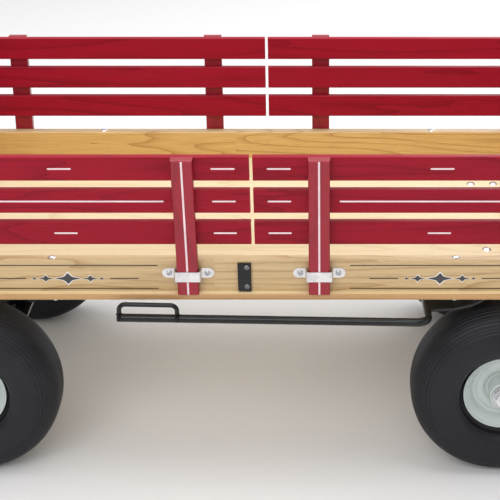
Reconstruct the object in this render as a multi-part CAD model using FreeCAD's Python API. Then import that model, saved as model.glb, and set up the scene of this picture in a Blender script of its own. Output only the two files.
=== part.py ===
import FreeCAD, Part
import math
import os

os.makedirs("parts", exist_ok=True)
V = FreeCAD.Vector
X_AXIS, Y_AXIS, Z_AXIS = V(1, 0, 0), V(0, 1, 0), V(0, 0, 1)

# Driving dimensions, in millimetres. The front of the wagon points to -X, its left side to -Y.
# Bed: four boards stand in shallow housings in a floor of five planks. The floor's rounded edge
# sticks out past the boards as a ledge.
bed_half_length = 508.7
bed_half_width = 256.0
board_top_z = 346.7
board_thickness = 18.0
board_round = 2.5
housing_depth = 1.0
plank_count = 5
plank_top_z = 299.6
plank_thickness = 10.8
plank_joint = 0.6
ledge = 10.4
ledge_round_top = 2.5
ledge_round_bottom = 5.0
cleat_thickness = 14.8
cleat_width = 90.0
cleat_half_length = 195.0
middle_cleat_x = -30.0

# Fasteners. A domed head's height is head_rise times its radius; bolts list head, shank and nut radii.
head_rise = 0.42
screw_shank = 2.0
screw_length = 14.0
corner_screw_z = (311.0, 335.0)
corner_screw_head = 4.0
corner_screw_shank = 2.2
corner_screw_sink = 3.0
corner_screw_length = 45.0
board_bolt_radii = (5.8, 3.0, 6.0)
board_bolt_x = 280.0
board_bolt_inset = 9.0
frame_bolt_radii = (7.0, 3.2, 6.5)
frame_bolt_along = 18.5
front_bolt_y = 76.0
rear_bolt_y = 124.0
bolt_nut_height = 5.0
bolt_tail = 3.0
pivot_head_radius = 12.0
pivot_head_height = 7.0
pivot_tail = 2.0
axle_nut_gap = 0.4
axle_washer_radius = 14.0
axle_washer_thickness = 2.0
axle_nut_radius = 13.6
axle_nut_height = 10.5

# Racks: slatted panels that flare outwards above the boards.
flare = math.tan(math.radians(5.0))
rail_height = 35.5
rail_gap = 13.5
rail_thickness = 10.8
rail_count = 3
rack_top_z = 505.35
rack_split_half_gap = 2.3
stake_width = 29.2
stake_thickness = 13.4
stake_bottom_z = 300.0
stake_back_gap = 0.3
stake_round = 3.0
side_stake_inner = 90.7
side_stake_outer = 418.0
end_rail_half_length = 245.0
end_stake_offset = 150.0
groove_width = 2.8
groove_depth = 0.8
dash_length = 32.0
dash_from_end = 35.0
long_line_clearance = 13.0

# Strap brackets that hold the stakes, and the catch plate for the brake lever.
strap = 1.6
strap_height = 14.8
strap_bend = 4.2
bracket_z = 328.0
bracket_half_band = 19.0
bracket_half_span = 36.2
bracket_depth = 13.9
bracket_hole_offset = 26.5
bracket_screw_head = 4.0
catch_x = (-22.2, -3.6)
catch_z = (300.2, 343.2)
catch_thickness = 4.5
catch_teeth = 8
catch_tooth_depth = 1.6
catch_screw_x = -9.6
catch_screw_z = (308.2, 337.6)
catch_screw_head = 3.8
catch_chamfer = 0.9

# Wheels.
tyre_radius = 133.35
tyre_half_width = 49.0
wheel_y = 229.0
front_axle_x = -420.4
rear_axle_x = 356.5
hub_half_length = 38.0
bearing_outer_radius = 17.5
bearing_width = 11.0
axle_radius = 7.9
running_clearance = 0.05
tube_ring_radius = 89.5
tube_radius = 32.4
tube_wall = 2.0
axle_end_y = 283.0
collar_radius = 12.0

# Undercarriage and steering.
frame_plate = 6.0
rear_leg_y = 150.0
leg_foot_half = 20.0
leg_foot_depth = 16.0
front_leg_y = 94.0
beam_half_length = 128.0
beam_half_depth = 15.0
beam_half_height = 12.0
kingpin_y = 150.0
kingpin_radius = 8.0
boss_radius = 14.0
ear_inner_half_gap = 22.65
knuckle_shoulder = 9.0
arm_length = 37.0
arm_thickness = 6.0
arm_half_width = 9.0
arm_top_z = 145.0
tie_bar_half_length = 162.0
tie_bar_width = 25.0
tie_bar_z = (145.6, 150.6)
link_pin_radius = 5.0
link_pin_rise = 11.0
tongue_z = (151.0, 157.0)
tongue_half_width = 18.0
handle_pivot_x = -620.0
handle_pivot_z = 160.0
tongue_front_x = -646.0
tongue_pivot_radius = 24.0
clevis_y = (14.0, 19.0)
clevis_z = (138.0, 178.0)
clevis_round = 12.0
stop_low_z = 168.5
handle_pin_radius = 6.0
handle_pin_head = 9.0
handle_pin_tail = 5.0

# Pull handle.
handle_lean_deg = 5.0
handle_tube_radius = 9.5
handle_eye_radius = 13.0
handle_loop_bottom = 800.0
handle_loop_height = 80.0
handle_loop_width = 120.0
handle_loop_corner = 22.0
handle_rod_radius = 6.0
grip_radius = 13.0
grip_half_length = 37.0

# Parking brake: a bent rod with a foot loop, hinged under the bed, with a shoe over each rear tyre.
brake_rod_radius = 5.9
brake_pivot_x = 242.5
brake_pivot_z = 262.5
brake_lever_y = -281.0
brake_front_x = -186.6
brake_front_z = 270.4
brake_bend_radius = 16.0
brake_far_y = 262.0
foot_loop_rod = 3.2
foot_loop_x = (-186.6, -106.3)
foot_loop_rise = 20.8
foot_loop_corner = 9.0
hanger_y = 150.0
hanger_plate = 4.0
hanger_half_length = 17.5
hanger_flange = 28.0
hanger_bolt = (-8.5, 170.0)
hanger_low = 14.0
hanger_round = 12.0
shoe_half_width = 25.0
shoe_y = 230.0
shoe_thickness = 4.0
shoe_outline = ((281.0, 271.5), (305.0, 277.7), (316.0, 283.6), (323.0, 288.3))

# The wagon's outer limits, which place the origin at the middle of its footprint.
rack_flare_top = (rack_top_z - board_top_z) * flare
x_front = tongue_front_x
x_rear = bed_half_length + rack_flare_top + stake_thickness
y_left = brake_lever_y - brake_rod_radius
y_right = bed_half_width + rack_flare_top + stake_thickness
origin_shift = V(-(x_front + x_rear) / 2, -(y_left + y_right) / 2, 0)


def node(name, solids):
    """Write one named sub-part, moved so that the origin is under the wagon's middle."""
    shape = Part.makeCompound(solids) if len(solids) > 1 else solids[0]
    shape = shape.copy()
    shape.translate(origin_shift)
    shape.exportStep("parts/" + name + ".step")


def fuse(shapes):
    result = shapes[0].multiFuse(shapes[1:]) if len(shapes) > 1 else shapes[0]
    result = result.removeSplitter()
    return result.Solids[0] if len(result.Solids) == 1 else result


def box(x, y, z):
    return Part.makeBox(x[1] - x[0], y[1] - y[0], z[1] - z[0], V(x[0], y[0], z[0]))


def rod(start, end, radius):
    """A round bar between two points."""
    direction = end.sub(start)
    return Part.makeCylinder(radius, direction.Length, start, direction)


def post(x, y, z, radius):
    """A vertical round bar."""
    return rod(V(x, y, z[0]), V(x, y, z[1]), radius)


def prism(points, extrusion):
    """A straight prism from a closed outline of points."""
    return Part.Face(Part.makePolygon(points + [points[0]])).extrude(extrusion)


def moved(shape, angle=0.0, x=0.0, y=0.0, z=0.0):
    """A copy turned about the vertical axis, then moved."""
    result = shape.copy()
    result.rotate(V(0, 0, 0), Z_AXIS, angle)
    result.translate(V(x, y, z))
    return result


def edges_along(shape, direction, minimum=0.0):
    """The straight edges of a shape that run along a direction."""
    found = []
    for edge in shape.Edges:
        span = edge.Vertexes[-1].Point.sub(edge.Vertexes[0].Point)
        if span.Length > max(minimum, 0.01) and abs(span.normalize().dot(direction)) > 0.999:
            found.append(edge)
    return found


def hex_post(x, y, z, radius):
    """A vertical six-sided bar; the radius reaches its corners."""
    corners = []
    for angle in range(0, 360, 60):
        turn = math.radians(angle)
        corners.append(V(x + radius * math.cos(turn), y + radius * math.sin(turn), z[0]))
    return prism(corners, V(0, 0, z[1] - z[0]))


def dome(radius, x, y, z):
    """A shallow round head, flat side down at z."""
    height = head_rise * radius
    sphere_radius = (radius * radius + height * height) / (2 * height)
    ball = Part.makeSphere(sphere_radius, V(x, y, z + height - sphere_radius))
    return ball.common(post(x, y, (z, z + height), radius))


# Each side of the bed is described facing -Y (outwards), then turned into place.
SIDES = {"left": 0.0, "rear": 90.0, "right": 180.0, "front": 270.0}


def side_face(side):
    """Distance from the bed's middle to the outer face of the boards on that side."""
    return bed_half_width if side in ("left", "right") else bed_half_length


def on_side(shape, side):
    """Place a shape modelled at the board's outer face y = 0, outwards -Y, on one side of the bed."""
    local = shape.copy()
    local.translate(V(0, -side_face(side), 0))
    return moved(local, SIDES[side])


def side_stakes(side):
    """Where the stakes stand along one side of the bed."""
    if side in ("left", "right"):
        return (-side_stake_outer, -side_stake_inner, side_stake_inner, side_stake_outer)
    return (-end_stake_offset, end_stake_offset)


# ---------------------------------------------------------------- bed

def board(half_length):
    """A board with rounded top edges; its outer face is y = 0 and it faces -Y."""
    bottom_z = plank_top_z - housing_depth
    blank = box((-half_length, half_length), (0, board_thickness), (bottom_z, board_top_z))
    top = [edge for edge in edges_along(blank, X_AXIS) if edge.CenterOfMass.z > board_top_z - 0.1]
    return blank.makeFillet(board_round, top)


def strap_bracket():
    """A strap bent round a stake, with a rounded ear each side; its back lies on y = 0."""
    low, high = bracket_z - strap_height / 2, bracket_z + strap_height / 2
    pieces = []
    for way in (-1, 1):
        ear_end = way * (bracket_half_span - strap_height / 2)
        ear = box(sorted((way * (bracket_half_band - strap), ear_end)), (-strap, 0), (low, high))
        tip = rod(V(ear_end, -strap, bracket_z), V(ear_end, 0, bracket_z), strap_height / 2)
        wall_x = sorted((way * (bracket_half_band - strap), way * bracket_half_band))
        pieces += [ear, tip, box(wall_x, (-bracket_depth - strap, 0), (low, high))]
    front = -bracket_depth - strap
    pieces.append(box((-bracket_half_band, bracket_half_band), (front, -bracket_depth), (low, high)))
    bracket = fuse(pieces)
    outer = [edge for edge in edges_along(bracket, Z_AXIS) if edge.CenterOfMass.y < front + 0.1]
    bracket = bracket.makeFillet(strap_bend, outer)
    inner = [edge for edge in edges_along(bracket, Z_AXIS) if abs(edge.CenterOfMass.y + bracket_depth) < 0.1]
    bracket = bracket.makeFillet(strap_bend - strap, inner)
    for way in (-1, 1):
        hole_x = way * bracket_hole_offset
        bracket = bracket.cut(rod(V(hole_x, -strap - 1, bracket_z), V(hole_x, 1, bracket_z), 2.2))
    return bracket


def face_screw(x, z, standing, head_radius):
    """A round-head screw in the board's outer face; its head sits on a plate of that thickness."""
    screw = fuse([dome(head_radius, 0, 0, 0), post(0, 0, (-screw_length, 0.01), screw_shank)])
    screw.rotate(V(0, 0, 0), X_AXIS, 90)
    screw.translate(V(x, -standing, z))
    return screw


def catch_plate():
    """The brake's catch: a thick plate with rounded edges and a row of teeth along its front edge."""
    left, right = catch_x
    low, high = catch_z
    pitch = (high - low) / catch_teeth
    outline = [V(right, 0, low), V(right, 0, high)]
    for index in range(catch_teeth):
        top = high - index * pitch
        outline += [V(left, 0, top), V(left, 0, top - pitch * 0.5),
                    V(left + catch_tooth_depth, 0, top - pitch * 0.7),
                    V(left + catch_tooth_depth, 0, top - pitch)]
    plate = prism(outline, V(0, -catch_thickness, 0))
    rim_edges = [edge for edge in plate.Edges
                 if edge.CenterOfMass.y < -catch_thickness + 0.1
                 and edge.CenterOfMass.x > left + 2 * catch_tooth_depth]
    return plate.makeChamfer(catch_chamfer, rim_edges)


side_boards = {side: board(bed_half_length) for side in ("left", "right")}
end_boards = {side: board(bed_half_width - board_thickness) for side in ("front", "rear")}
boards = {side: on_side(shape, side) for side, shape in {**side_boards, **end_boards}.items()}

brackets, bracket_screws = [], []
for side in SIDES:
    for stake_x in side_stakes(side):
        brackets.append(on_side(moved(strap_bracket(), x=stake_x), side))
        for way in (-1, 1):
            screw = face_screw(stake_x + way * bracket_hole_offset, bracket_z, strap, bracket_screw_head)
            bracket_screws.append(on_side(screw, side))

catch = catch_plate()
catch_screws = []
for screw_z in catch_screw_z:
    screw = face_screw(catch_screw_x, screw_z, catch_thickness, catch_screw_head)
    catch = catch.cut(screw)
    catch_screws.append(on_side(screw, "left"))

corner_screws = []
for side in ("left", "right"):
    for end in (-1, 1):
        for screw_z in corner_screw_z:
            at_x = end * (bed_half_length - board_thickness / 2)
            head = Part.makeCone(corner_screw_head, corner_screw_shank, corner_screw_sink,
                                 V(at_x, 0, screw_z), Y_AXIS)
            shank = rod(V(at_x, 0, screw_z), V(at_x, corner_screw_length, screw_z), corner_screw_shank)
            corner_screws.append(on_side(fuse([head, shank]), side))

plank_bottom_z = plank_top_z - plank_thickness


def carriage_bolt(x, y, top_z, nut_top_z, radii):
    """A bolt with a domed head on top_z and a six-sided nut under nut_top_z."""
    head, shank, nut = radii
    tail_z = nut_top_z - bolt_nut_height - bolt_tail
    return fuse([dome(head, x, y, top_z),
                 post(x, y, (tail_z, top_z + 0.01), shank),
                 hex_post(x, y, (nut_top_z - bolt_nut_height, nut_top_z), nut)])


# These bolts hold the side boards down on the floor.
board_bolts = []
for side in ("left", "right"):
    for bolt_x in (-board_bolt_x, board_bolt_x):
        bolt = carriage_bolt(bolt_x, board_bolt_inset, board_top_z, plank_bottom_z, board_bolt_radii)
        board_bolts.append(on_side(bolt, side))

for side in boards:
    for fastener in bracket_screws + catch_screws + corner_screws + board_bolts:
        if boards[side].BoundBox.intersect(fastener.BoundBox):
            boards[side] = boards[side].cut(fastener)
    boards[side] = boards[side].Solids[0]

floor_half_width = bed_half_width + ledge
floor_half_length = bed_half_length + ledge
plank_pitch = 2 * floor_half_width / plank_count


def plank(index):
    """One floor plank; where it forms the floor's outer edge, that edge is rounded."""
    low = -floor_half_width + index * plank_pitch
    first, last = index == 0, index == plank_count - 1
    span = (low + (0 if first else plank_joint / 2), low + plank_pitch - (0 if last else plank_joint / 2))
    shape = box((-floor_half_length, floor_half_length), span, (plank_bottom_z, plank_top_z))
    for level, radius in ((plank_top_z, ledge_round_top), (plank_bottom_z, ledge_round_bottom)):
        rounded = []
        for edge in shape.Edges:
            at = edge.CenterOfMass
            outer = abs(at.x) > floor_half_length - 0.1 or abs(at.y) > floor_half_width - 0.1
            if outer and abs(at.z - level) < 0.1:
                rounded.append(edge)
        shape = shape.makeFillet(radius, rounded)
    return shape


planks = [plank(index) for index in range(plank_count)]
cleat_z = (plank_bottom_z - cleat_thickness, plank_bottom_z)
cleats = []
for cleat_x in (front_axle_x, middle_cleat_x, rear_axle_x):
    cleats.append(box((cleat_x - cleat_width / 2, cleat_x + cleat_width / 2),
                      (-cleat_half_length, cleat_half_length), cleat_z))

# These bolts clamp the planks, the cleats, the axle frames and the brake's hangers together.
plate_z = (cleat_z[0] - frame_plate, cleat_z[0])
frame_bolts = []
for axle_x, bolt_y in ((front_axle_x, front_bolt_y), (rear_axle_x, rear_bolt_y)):
    for along in (-frame_bolt_along, frame_bolt_along):
        for y in (-bolt_y, bolt_y):
            frame_bolts.append(carriage_bolt(axle_x + along, y, plank_top_z, plate_z[0], frame_bolt_radii))

hanger_x = (brake_pivot_x - hanger_half_length, brake_pivot_x + hanger_half_length)
hanger_bottom_z = plank_bottom_z - hanger_plate
for way in (-1, 1):
    frame_bolts.append(carriage_bolt(brake_pivot_x + hanger_bolt[0], way * hanger_bolt[1], plank_top_z,
                                     hanger_bottom_z, frame_bolt_radii))


def drilled(shapes, cutters):
    """Each shape with whatever passes through it or stands in it cut out."""
    result = []
    for shape in shapes:
        for cutter in cutters:
            if shape.BoundBox.intersect(cutter.BoundBox):
                shape = shape.cut(cutter)
        result.append(shape.Solids[0])
    return result


planks = drilled(planks, frame_bolts + board_bolts + list(boards.values()))
cleats = drilled(cleats, frame_bolts)


# ---------------------------------------------------------------- racks

def flared(z):
    """How far the racks lean out at a height."""
    return (z - board_top_z) * flare


def rail_levels():
    """The bottom and top of each rail, from the top one down."""
    levels = []
    for index in range(rail_count):
        top = rack_top_z - index * (rail_height + rail_gap)
        levels.append((top - rail_height, top))
    return levels


def groove(start, end, z):
    """A round-ended groove cutter on the racks' outer face, from start to end at one height."""
    middle = 3.0
    cutter = fuse([box((start, end), (-middle, groove_depth), (-groove_width / 2, groove_width / 2)),
                   rod(V(start, -middle, 0), V(start, groove_depth, 0), groove_width / 2),
                   rod(V(end, -middle, 0), V(end, groove_depth, 0), groove_width / 2)])
    cutter.rotate(V(0, 0, 0), X_AXIS, math.degrees(math.atan(flare)))
    cutter.translate(V(0, -flared(z), z))
    return cutter


def rail(start, end, level, grooves):
    """A rail that leans with the rack, with rounded edges and the given grooves."""
    low, high = level
    outline = [V(start, -flared(low), low), V(start, -flared(high), high),
               V(start, -flared(high) + rail_thickness, high), V(start, -flared(low) + rail_thickness, low)]
    shape = prism(outline, V(end - start, 0, 0))
    shape = shape.makeFillet(1.6, edges_along(shape, X_AXIS))
    for groove_start, groove_end in grooves:
        shape = shape.cut(groove(groove_start, groove_end, (low + high) / 2))
    return shape


def stake(x):
    """A stake: upright against the board below, leaning out above it, with a groove down its face."""
    kink_z = board_top_z + stake_back_gap / flare
    back = [V(0, -stake_back_gap, stake_bottom_z), V(0, -stake_back_gap, kink_z),
            V(0, -flared(rack_top_z), rack_top_z)]
    face = [point.add(V(0, -stake_thickness, 0)) for point in back]
    shape = prism(back + face[::-1], V(stake_width, 0, 0))
    outer = []
    for edge in shape.Edges:
        reach = [-vertex.Y - max(stake_back_gap, flared(vertex.Z)) for vertex in edge.Vertexes]
        heights = sorted(vertex.Z for vertex in edge.Vertexes)
        upright = heights[-1] - heights[0] > stake_round
        if min(reach) > stake_thickness - 0.1 and (upright or heights[0] > kink_z + stake_round):
            outer.append(edge)
    shape = shape.makeFillet(stake_round, outer)
    line_x = (stake_width / 2 - groove_width / 2, stake_width / 2 + groove_width / 2)
    groove_y = (-stake_thickness - 2.0, -stake_thickness + groove_depth)
    upper = box(line_x, groove_y, (0, 200))
    upper.rotate(V(0, -stake_thickness, 0), X_AXIS, math.degrees(math.atan(flare)))
    upper.translate(V(0, -stake_back_gap, kink_z))
    lower = box(line_x, groove_y, (-100, 0))
    lower.translate(V(0, -stake_back_gap, kink_z))
    return moved(shape.cut(lower).cut(upper).Solids[0], x=x - stake_width / 2)


def dashes(start, end, stakes):
    """Grooves of the top and bottom rails: a dash in each overhang and one in the middle."""
    half = (dash_length - groove_width) / 2
    centres = (start + dash_from_end, (stakes[0] + stakes[-1]) / 2, end - dash_from_end)
    return [(centre - half, centre + half) for centre in centres]


def long_line(start, end, stakes):
    """Grooves of the middle rail: a dash in each overhang and a long line between the stakes."""
    reach = stake_width / 2 + long_line_clearance
    outer = dashes(start, end, stakes)
    return [outer[0], (stakes[0] + reach, stakes[-1] - reach), outer[-1]]


def rack(name, side, start, end, stakes):
    """One removable rack panel: three rails on two stakes."""
    rails = []
    for index, level in enumerate(rail_levels()):
        make_grooves = long_line if index == 1 else dashes
        rails.append(on_side(rail(start, end, level, make_grooves(start, end, stakes)), side))
    node("rack_" + name + "_rails", rails)
    node("rack_" + name + "_stakes", [on_side(stake(x), side) for x in stakes])


near_split, far_end = rack_split_half_gap, bed_half_length
front_half = (-far_end, -near_split, (-side_stake_outer, -side_stake_inner))
rear_half = (near_split, far_end, (side_stake_inner, side_stake_outer))
rack("left_front", "left", *front_half)
rack("left_rear", "left", *rear_half)
rack("right_front", "right", *rear_half)
rack("right_rear", "right", *front_half)
for side in ("front", "rear"):
    rack(side, side, -end_rail_half_length, end_rail_half_length, side_stakes(side))


# ---------------------------------------------------------------- wheels

def turned(outline):
    """A solid of revolution about the wheel's axle from a face in the radius and width plane."""
    return outline.revolve(V(0, 0, 0), Y_AXIS, 360)


def face_of(edges):
    return Part.Face(Part.Wire(edges))


def arc(a, b, c):
    return Part.Arc(V(a[0], a[1], 0), V(b[0], b[1], 0), V(c[0], c[1], 0)).toShape()


def lines(points):
    edges = []
    for a, b in zip(points, points[1:]):
        edges.append(Part.makeLine(V(a[0], a[1], 0), V(b[0], b[1], 0)))
    return edges


def tyre():
    """A pneumatic tyre, open towards the rim; points are (radius, distance from the mid-plane)."""
    shoulder, waist, lip = (129.6, 28.0), (106.0, 47.2), (60.6, 31.0)
    inner_bead, inner_crown = (56.5, 15.0), (121.5, 22.0)

    def mirror(point):
        return (point[0], -point[1])

    edges = [arc(mirror(shoulder), (tyre_radius, 0), shoulder),
             arc(shoulder, (119.6, 40.4), waist),
             arc(waist, (86.0, tyre_half_width - 0.6), lip)]
    edges += lines([lip, (59.4, 27.0), (51.0, 27.0), (51.0, 15.0), inner_bead])
    edges += [arc(inner_bead, (86.0, 42.0), inner_crown),
              arc(inner_crown, (125.5, 0), mirror(inner_crown)),
              arc(mirror(inner_crown), (86.0, -42.0), mirror(inner_bead))]
    edges += lines([mirror(inner_bead), (51.0, -15.0), (51.0, -27.0), (59.4, -27.0), mirror(lip)])
    edges += [arc(mirror(lip), (86.0, -tyre_half_width + 0.6), mirror(waist)),
              arc(mirror(waist), (119.6, -40.4), mirror(shoulder))]
    return turned(face_of(edges))


def rim():
    """The rim with its barrel, stepped dish and bearing hub; +Y is outboard."""
    hub = hub_half_length
    seat = bearing_outer_radius
    step = hub - bearing_width
    points = [(58.7, 30.2), (58.7, 27.2), (50.8, 27.2), (50.8, 14), (46.5, 11), (46.5, -11), (50.8, -14),
              (50.8, -27.2), (58.7, -27.2), (58.7, -30.2), (47.8, -30.2), (47.8, -13), (43.5, -10),
              (43.5, 4.5), (38.3, 4.5), (33.8, 12), (28.8, 12), (26.2, 6.5), (21, 6.5), (21, -hub),
              (seat, -hub), (seat, -step), (collar_radius, -step), (collar_radius, step), (seat, step),
              (seat, hub), (21, hub), (21, 9.5), (25, 9.5), (27.5, 15), (35, 15), (39.5, 7.5),
              (43.5, 7.5), (43.5, 10), (47.8, 13), (47.8, 30.2)]
    return turned(face_of(lines(points + [points[0]])))


def inner_tube():
    """An inflated tube: a hollow ring that fills the tyre."""
    outside = Part.makeTorus(tube_ring_radius, tube_radius, V(0, 0, 0), Y_AXIS)
    inside = Part.makeTorus(tube_ring_radius, tube_radius - tube_wall, V(0, 0, 0), Y_AXIS)
    return outside.cut(inside)


def bearings():
    """A ball bearing pressed into each end of the hub, as closed rings."""
    bore = axle_radius + running_clearance
    rings = []
    for way in (-1, 1):
        inner, outer = V(0, way * (hub_half_length - bearing_width), 0), V(0, way * hub_half_length, 0)
        rings.append(rod(inner, outer, bearing_outer_radius).cut(rod(inner, outer, bore)))
    return rings


WHEELS = {"front_left": (front_axle_x, -1), "front_right": (front_axle_x, 1),
          "rear_left": (rear_axle_x, -1), "rear_right": (rear_axle_x, 1)}
for name, (axle_x, way) in WHEELS.items():
    turn = 0.0 if way > 0 else 180.0
    place = dict(angle=turn, x=axle_x, y=way * wheel_y, z=tyre_radius)
    node("tyre_" + name, [moved(tyre(), **place)])
    node("inner_tube_" + name, [moved(inner_tube(), **place)])
    node("rim_" + name, [moved(rim(), **place)])
    node("bearings_" + name, [moved(ring, **place) for ring in bearings()])


# ---------------------------------------------------------------- axles and steering

bearing_inner_y = wheel_y - hub_half_length
bearing_outer_y = wheel_y + hub_half_length


def axle_nut(axle_x, way):
    """A washer and lock nut on the end of an axle."""
    washer_z = bearing_outer_y + axle_nut_gap
    nut_z = washer_z + axle_washer_thickness
    pieces = []
    for piece in (post(0, 0, (washer_z, nut_z), axle_washer_radius),
                  hex_post(0, 0, (nut_z, nut_z + axle_nut_height), axle_nut_radius)):
        piece = piece.cut(post(0, 0, (0, 2 * bearing_outer_y), axle_radius))
        piece.rotate(V(0, 0, 0), X_AXIS, -90 * way)
        piece.translate(V(axle_x, 0, tyre_radius))
        pieces.append(piece)
    return pieces


def on_rear_axle(y):
    return V(rear_axle_x, y, tyre_radius)


rear_axle = rod(on_rear_axle(-axle_end_y), on_rear_axle(axle_end_y), axle_radius)
plate_half = cleat_width / 2
rear_x = (rear_axle_x - plate_half, rear_axle_x + plate_half)
rear_parts = [box(rear_x, (-rear_leg_y, rear_leg_y), plate_z),
              rod(on_rear_axle(-rear_leg_y), on_rear_axle(rear_leg_y), boss_radius)]
for way in (-1, 1):
    leg_y = way * rear_leg_y
    foot_z = tyre_radius - leg_foot_depth
    leg_outline = [V(rear_x[0], leg_y, plate_z[1]), V(rear_x[1], leg_y, plate_z[1]),
                   V(rear_axle_x + leg_foot_half, leg_y, foot_z),
                   V(rear_axle_x - leg_foot_half, leg_y, foot_z)]
    rear_parts.append(prism(leg_outline, V(0, way * frame_plate, 0)))
    collar_end = way * (bearing_inner_y - axle_nut_gap)
    rear_parts.append(rod(on_rear_axle(leg_y), on_rear_axle(collar_end), collar_radius))
rear_frame = drilled([fuse(rear_parts).cut(rear_axle)], frame_bolts)

beam_z = (tyre_radius - beam_half_height, tyre_radius + beam_half_height)
ear_z = {"low": (tyre_radius - ear_inner_half_gap - frame_plate, tyre_radius - ear_inner_half_gap),
         "high": (tyre_radius + ear_inner_half_gap, tyre_radius + ear_inner_half_gap + frame_plate)}
beam_x = (front_axle_x - beam_half_depth, front_axle_x + beam_half_depth)
front_parts = [box((front_axle_x - plate_half, front_axle_x + plate_half),
                   (-front_leg_y - frame_plate, front_leg_y + frame_plate), plate_z),
               box(beam_x, (-beam_half_length, beam_half_length), beam_z),
               post(front_axle_x, 0, (beam_z[1] - 1, tongue_z[0] - 0.3), 16.0)]
for way in (-1, 1):
    front_parts.append(box(beam_x, sorted((way * front_leg_y, way * (front_leg_y + frame_plate))),
                           (beam_z[1] - 1, plate_z[1])))
    web_y = sorted((way * (beam_half_length - frame_plate), way * beam_half_length))
    front_parts.append(box(beam_x, web_y, (ear_z["low"][0], ear_z["high"][1])))
    for level in ear_z.values():
        front_parts.append(box(beam_x, sorted((way * (beam_half_length - 1), way * kingpin_y)), level))
        front_parts.append(post(front_axle_x, way * kingpin_y, level, beam_half_depth))



def pivot_bolt(y, low, high):
    """An upright bolt with its head on top of high and its nut under low."""
    nut_z, head_z = low - pivot_head_height, high + pivot_head_height
    return fuse([post(front_axle_x, y, (nut_z - pivot_tail, head_z), kingpin_radius),
                 hex_post(front_axle_x, y, (high, head_z), pivot_head_radius),
                 hex_post(front_axle_x, y, (nut_z, low), pivot_head_radius)])


pivot_bolts = [pivot_bolt(0, beam_z[0], tongue_z[1] + axle_nut_gap)]
for way in (-1, 1):
    pivot_bolts.append(pivot_bolt(way * kingpin_y, ear_z["low"][0], ear_z["high"][1]))
front_frame = drilled([fuse(front_parts)], pivot_bolts + frame_bolts)


def knuckle(way):
    """A steering knuckle: boss, stub axle, and an arm with an upright pin for the tie bar."""
    y = way * kingpin_y
    boss_z = (ear_z["low"][1] + 0.3, ear_z["high"][0] - 0.3)
    arm_z = (arm_top_z - arm_thickness, arm_top_z)
    shoulder = V(front_axle_x, way * (kingpin_y + knuckle_shoulder), tyre_radius)
    collar_end = V(front_axle_x, way * (bearing_inner_y - axle_nut_gap), tyre_radius)
    parts = [post(front_axle_x, y, boss_z, boss_radius),
             rod(shoulder, V(front_axle_x, way * axle_end_y, tyre_radius), axle_radius),
             rod(shoulder, collar_end, collar_radius),
             box((front_axle_x, link_x), (y - arm_half_width, y + arm_half_width), arm_z),
             post(link_x, y, arm_z, arm_half_width),
             post(link_x, y, (arm_z[0], arm_z[1] + link_pin_rise), link_pin_radius)]
    bore = post(front_axle_x, y, (0, 2 * tyre_radius), kingpin_radius + running_clearance)
    return fuse(parts).cut(bore).Solids[0]


link_x = front_axle_x + arm_length
tie_bar = box((link_x - tie_bar_width / 2, link_x + tie_bar_width / 2),
              (-tie_bar_half_length, tie_bar_half_length), tie_bar_z)
tie_bar = tie_bar.makeFillet(8.0, edges_along(tie_bar, Z_AXIS))
for hole_y in (-kingpin_y, 0, kingpin_y):
    tie_bar = tie_bar.cut(post(link_x, hole_y, tie_bar_z, link_pin_radius + running_clearance))

bar_front_x = handle_pivot_x + handle_eye_radius + 3
tongue_parts = [box((bar_front_x, link_x), (-tongue_half_width, tongue_half_width), tongue_z),
                post(link_x, 0, tongue_z, tongue_half_width),
                post(front_axle_x, 0, tongue_z, tongue_pivot_radius),
                post(link_x, 0, (tie_bar_z[0] - 5, tongue_z[1]), link_pin_radius)]
for way in (-1, 1):
    ear_y = sorted((way * clevis_y[0], way * clevis_y[1]))
    ear = box((tongue_front_x, bar_front_x + 4), ear_y, clevis_z)
    front_edges = [edge for edge in edges_along(ear, Y_AXIS) if edge.CenterOfMass.x < tongue_front_x + 0.1]
    tongue_parts.append(ear.makeFillet(clevis_round, front_edges))
stop_x = (handle_pivot_x + handle_tube_radius + 2.0, bar_front_x + 4)
tongue_parts.append(box(stop_x, (-clevis_y[0] - 1, clevis_y[0] + 1), (stop_low_z, clevis_z[1])))


def on_handle_pin(y):
    return V(handle_pivot_x, y, handle_pivot_z)


pin_end = clevis_y[1] + handle_pin_tail
handle_pin = fuse([rod(on_handle_pin(-pin_end), on_handle_pin(pin_end), handle_pin_radius),
                   rod(on_handle_pin(1 - pin_end), on_handle_pin(-clevis_y[1]), handle_pin_head)])
pivot_bore = post(front_axle_x, 0, (0, 2 * tyre_radius), kingpin_radius + running_clearance)
tongue = fuse(tongue_parts).cut([pivot_bore, handle_pin]).Solids[0]


# ---------------------------------------------------------------- pull handle

def rounded_loop(width, low, high, corner):
    """A closed rounded rectangle in the YZ plane, as a wire that starts along its lower side."""
    rectangle = Part.makePolygon([V(0, -width / 2, low), V(0, width / 2, low), V(0, width / 2, high),
                                  V(0, -width / 2, high), V(0, -width / 2, low)])
    face = Part.Face(rectangle).extrude(V(10, 0, 0))
    rounded = face.makeFillet(corner, edges_along(face, X_AXIS))
    flat = [candidate for candidate in rounded.Faces if abs(candidate.CenterOfMass.x) < 1e-6]
    return flat[0].OuterWire


def swept_rod(path, radius):
    """A round rod along a path of lines and tangent arcs."""
    start = path.OrderedEdges[0]
    point = start.valueAt(start.FirstParameter)
    tangent = start.tangentAt(start.FirstParameter)
    profile = Part.Wire([Part.Circle(point, tangent, radius).toShape()])
    return path.makePipeShell([profile], True, True)


def leaned(shape):
    """Place a handle piece, modelled upright from its pivot, at its resting lean."""
    result = shape.copy()
    result.rotate(V(0, 0, 0), Y_AXIS, handle_lean_deg)
    result.translate(V(handle_pivot_x, 0, handle_pivot_z))
    return result


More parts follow.
